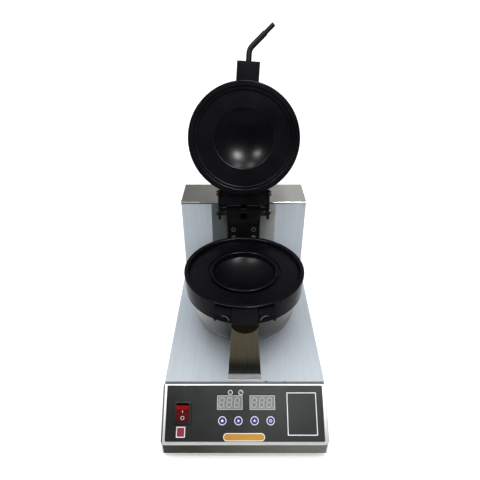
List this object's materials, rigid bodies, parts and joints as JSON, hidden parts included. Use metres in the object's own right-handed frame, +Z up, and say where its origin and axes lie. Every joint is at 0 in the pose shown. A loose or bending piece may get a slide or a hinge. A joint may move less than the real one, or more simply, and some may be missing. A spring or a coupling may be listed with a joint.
{
  "type": "round-mould sandwich press",
  "caption": "Counter-top electric press with two round cast moulds, a hinged lid with a bent handle rod, a sheet-metal body and a sloping control panel.",
  "frame": {"origin": "on the table under the middle of the machine's box", "axes": "+X to the operator's right, +Y to the back, +Z up; the lid stands open at rest"},
  "size_m": [0.2424, 0.462, 0.538],
  "materials": {
    "film_white_steel": "satin protective film over steel sheet",
    "bare_steel": "brushed",
    "panel_frame": "bright brushed",
    "bright_steel": "bright zinc",
    "nonstick_black": "satin non-stick coating on cast aluminium",
    "black_steel": "satin black",
    "overlay_charcoal": "satin film",
    "rocker_red": "gloss",
    "black_plastic": "matte",
    "display_grey": "smooth",
    "lamp_clear": "clear lens",
    "button_indigo": "satin",
    "board_green": "solder mask",
    "terminal_cream": "matte",
    "foot_rubber": "matte",
    "element_steel": "oxidised",
    "insulation_wool": "fibre"
  },
  "bodies": {
    "base": {"base_tray": "bare_steel", "board_standoffs": "bright_steel", "bowl_base_ring": "bare_steel", "cable_gland": "black_plastic", "control_board": "board_green", "control_panel": "panel_frame", "deck_sheet": "film_white_steel", "display_left": "display_grey", "display_right": "display_grey", "foot_screws": "bright_steel", "front_leg": "bare_steel", "gland_locknut": "black_plastic", "heater_bowl": "bare_steel", "heater_relays": "black_plastic", "hinge_backing_plate": "bare_steel", "hinge_bracket": "black_steel", "hinge_bracket_screws": "bright_steel", "hinge_pin": "bright_steel", "hinge_retaining_ring": "bright_steel", "hinge_spacers": "bright_steel", "indicator_lamps": "lamp_clear", "left_side_panel": "film_white_steel", "leg_screws": "bright_steel", "lower_element": "element_steel", "lower_insulation": "insulation_wool", "lower_mould": "nonstick_black", "lower_probe": "bright_steel", "mould_pillars": "bright_steel", "panel_overlay": "overlay_charcoal", "rear_cover": "bare_steel", "rear_cover_screws": "bright_steel", "right_side_panel": "film_white_steel", "rocker_housing": "black_plastic", "rubber_feet": "foot_rubber", "tact_switches": "black_plastic", "terminal_block": "terminal_cream"},
    "lid": {"upper_mould": "nonstick_black", "lid_element": "element_steel", "lid_cover": "bare_steel", "lid_cover_screws": "bright_steel", "lid_insulation": "insulation_wool", "lid_probe": "bright_steel", "handle_rod": "black_steel", "left_hinge_arm": "black_steel", "right_hinge_arm": "black_steel", "hinge_arm_screws": "bright_steel"},
    "power_rocker": {"rocker_button": "rocker_red"},
    "button_mode": {"button_mode": "button_indigo"},
    "button_next": {"button_next": "button_indigo"},
    "button_raise": {"button_raise": "button_indigo"},
    "button_cancel": {"button_cancel": "button_indigo"}
  },
  "joints": [
    {"name": "lid_hinge", "type": "hinge", "parent": "base", "child": "lid", "pos_m": [0, 0.108, 0.231], "axis": [1, 0, 0], "range_deg": [0, 115]},
    {"name": "power_switch", "type": "hinge", "parent": "base", "child": "power_rocker", "pos_m": [-0.091, -0.19554, 0.05661], "axis": [-1, 0, 0], "range_deg": [0, 20]},
    {"name": "button_mode_press", "type": "slide", "parent": "base", "child": "button_mode", "axis": [0, 0.6334, -0.7738], "range_m": [0, 0.0007], "stiffness_N_per_m": 300, "springref_m": -0.0003},
    {"name": "button_next_press", "type": "slide", "parent": "base", "child": "button_next", "axis": [0, 0.6334, -0.7738], "range_m": [0, 0.0007], "stiffness_N_per_m": 300, "springref_m": -0.0003},
    {"name": "button_raise_press", "type": "slide", "parent": "base", "child": "button_raise", "axis": [0, 0.6334, -0.7738], "range_m": [0, 0.0007], "stiffness_N_per_m": 300, "springref_m": -0.0003},
    {"name": "button_cancel_press", "type": "slide", "parent": "base", "child": "button_cancel", "axis": [0, 0.6334, -0.7738], "range_m": [0, 0.0007], "stiffness_N_per_m": 300, "springref_m": -0.0003}
  ]
}
